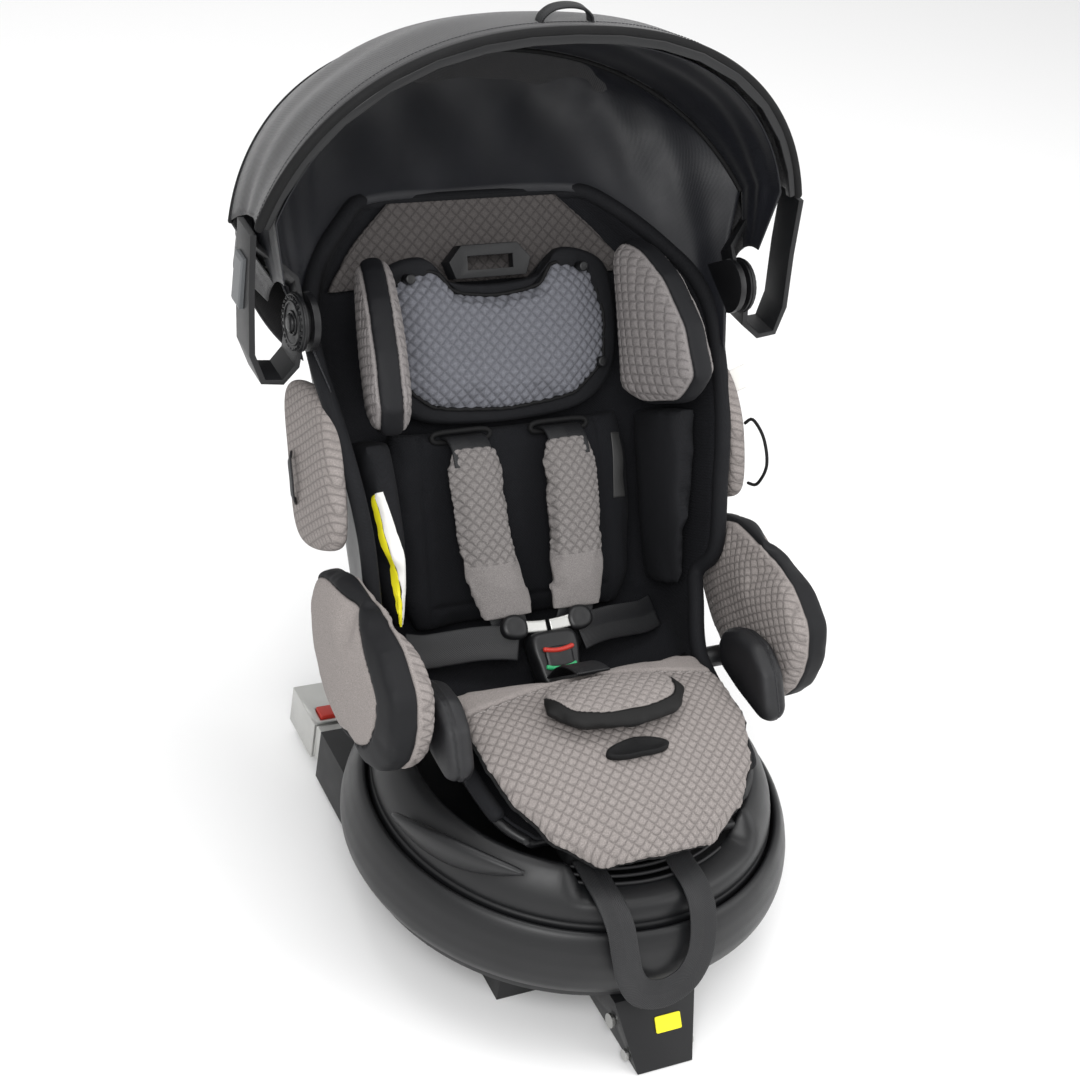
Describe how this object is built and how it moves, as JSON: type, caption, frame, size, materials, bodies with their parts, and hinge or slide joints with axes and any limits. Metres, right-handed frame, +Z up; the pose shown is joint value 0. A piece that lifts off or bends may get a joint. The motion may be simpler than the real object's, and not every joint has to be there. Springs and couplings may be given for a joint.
{
  "type": "convertible car seat",
  "caption": "Child car seat with a harnessed shell, headrest, side shields and folding hood, on a swivelling base with a support leg and anchor arms.",
  "frame": {"origin": "on the floor under the middle of the whole seat's bounding box, level with the sled's underside", "axes": "+Z up, -Y the way the seated child faces, +X to the right of someone facing the seat"},
  "size_m": [0.512, 0.6757, 0.7385],
  "materials": {
    "black_plastic": "moulded black plastic with a fine satin grain",
    "grey_quilt": "warm grey heather knit, quilted",
    "cool_quilt": "cool grey knit, quilted in raised diamonds",
    "black_mesh": "black spacer mesh",
    "black_leather": "black leather-like fabric with a soft sheen",
    "hood_cloth": "charcoal woven cloth with a fine grid",
    "webbing": "black twill webbing",
    "red_plastic": "red moulded plastic",
    "steel": "zinc-plated steel",
    "elastic": "black elastic cord"
  },
  "bodies": {
    "base": {"base_sled": "black_plastic", "base_ring": "black_plastic", "swivel_bearing": "steel", "leg_housing": "black_plastic", "leg_pivot_pin": "steel", "leg_stop_pin": "steel"},
    "turntable": {"turntable_dome": "black_plastic"},
    "swivel_lever": {"swivel_lever": "black_plastic"},
    "leg": {"leg_tube": "steel"},
    "leg_foot": {"leg_foot": "steel"},
    "leg_button": {"leg_button": "red_plastic"},
    "anchor_left": {"anchor_arm_left": "steel"},
    "anchor_right": {"anchor_arm_right": "steel"},
    "anchor_button_left": {"anchor_button_left": "red_plastic"},
    "anchor_button_right": {"anchor_button_right": "red_plastic"},
    "seat": {"seat_shell": "black_plastic", "seat_rocker": "black_plastic", "seat_cushion": "grey_quilt", "backrest_pad": "black_mesh", "shell_top_cover": "grey_quilt", "side_bolster_left": "black_mesh", "side_bolster_right": "black_mesh", "thigh_bolster_left": "black_leather", "thigh_bolster_right": "black_leather", "side_cover_left": "grey_quilt", "side_cover_right": "grey_quilt", "shield_pad_left": "grey_quilt", "shield_pad_right": "grey_quilt", "shield_shell_left": "black_leather", "shield_shell_right": "black_leather", "harness_pad_left": "grey_quilt", "harness_pad_right": "grey_quilt", "shoulder_strap_left": "webbing", "shoulder_strap_right": "webbing", "lap_strap_left": "webbing", "lap_strap_right": "webbing", "buckle_tongue": "steel", "buckle_body": "black_plastic", "crotch_pad": "grey_quilt", "crotch_strap": "webbing", "adjuster_strap": "webbing", "rear_bow": "black_plastic", "hood_mount_left": "black_plastic", "hood_mount_right": "black_plastic", "elastic_loop": "elastic"},
    "recline_handle": {"recline_handle": "black_plastic"},
    "adjuster_button": {"adjuster_button": "black_plastic"},
    "buckle_button": {"buckle_button": "red_plastic"},
    "headrest": {"headrest_shell": "black_plastic", "headrest_pad": "cool_quilt", "headrest_wing_left": "grey_quilt", "headrest_wing_right": "grey_quilt", "headrest_handle": "black_plastic"},
    "hood_mid": {"mid_bow": "black_plastic", "hood_rear_panel": "hood_cloth"},
    "hood_front": {"front_bow": "black_plastic", "hood_front_panel": "hood_cloth", "hood_arm_left": "black_plastic", "hood_arm_right": "black_plastic", "hood_loop": "webbing"}
  },
  "joints": [
    {"name": "turntable_swivel", "type": "hinge", "parent": "base", "child": "turntable", "pos_m": [0, -0.1131, 0.1], "axis": [0, 0, 1], "continuous": true},
    {"name": "seat_recline", "type": "hinge", "parent": "turntable", "child": "seat", "pos_m": [0, -0.0731, 0.42], "axis": [-1, 0, 0], "range_deg": [0, 18]},
    {"name": "headrest_height", "type": "slide", "parent": "seat", "child": "headrest", "axis": [0, 0.5, 0.866], "range_m": [0, 0.13]},
    {"name": "hood_mid_fold", "type": "hinge", "parent": "seat", "child": "hood_mid", "pos_m": [0, 0.1029, 0.478], "axis": [-1, 0, 0], "range_deg": [0, 37]},
    {"name": "hood_front_fold", "type": "hinge", "parent": "hood_mid", "child": "hood_front", "pos_m": [0, 0.1029, 0.478], "axis": [-1, 0, 0], "range_deg": [0, 37]},
    {"name": "leg_fold", "type": "hinge", "parent": "base", "child": "leg", "pos_m": [0, -0.2961, 0.024], "axis": [-1, 0, 0], "range_deg": [0, 95]},
    {"name": "leg_extend", "type": "slide", "parent": "leg", "child": "leg_foot", "axis": [0, 1, 0], "range_m": [0, 0.22]},
    {"name": "leg_button_press", "type": "slide", "parent": "leg", "child": "leg_button", "axis": [0, 0, 1], "range_m": [0, 0.002], "stiffness_N_per_m": 400},
    {"name": "anchor_left_slide", "type": "slide", "parent": "base", "child": "anchor_left", "axis": [0, 1, 0], "range_m": [0, 0.09]},
    {"name": "anchor_button_left_press", "type": "slide", "parent": "anchor_left", "child": "anchor_button_left", "axis": [0, 0, -1], "range_m": [0, 0.003], "stiffness_N_per_m": 400},
    {"name": "anchor_right_slide", "type": "slide", "parent": "base", "child": "anchor_right", "axis": [0, 1, 0], "range_m": [0, 0.09]},
    {"name": "anchor_button_right_press", "type": "slide", "parent": "anchor_right", "child": "anchor_button_right", "axis": [0, 0, -1], "range_m": [0, 0.003], "stiffness_N_per_m": 400},
    {"name": "swivel_lever_pull", "type": "hinge", "parent": "turntable", "child": "swivel_lever", "pos_m": [-0.177, -0.1381, 0.148], "axis": [0, 0, -1], "range_deg": [0, 8], "stiffness_Nm_per_rad": 3},
    {"name": "recline_handle_pull", "type": "slide", "parent": "seat", "child": "recline_handle", "axis": [0, -1, 0], "range_m": [0, 0.008], "stiffness_N_per_m": 400},
    {"name": "adjuster_button_press", "type": "slide", "parent": "seat", "child": "adjuster_button", "axis": [0, 1, 0], "range_m": [0, 0.003], "stiffness_N_per_m": 400},
    {"name": "buckle_button_press", "type": "slide", "parent": "seat", "child": "buckle_button", "axis": [0, 0.6606, -0.7507], "range_m": [0, 0.003], "stiffness_N_per_m": 400}
  ],
  "couplings": [
    {"joint": "hood_front_fold", "follows": "hood_mid_fold", "ratio": 1}
  ]
}
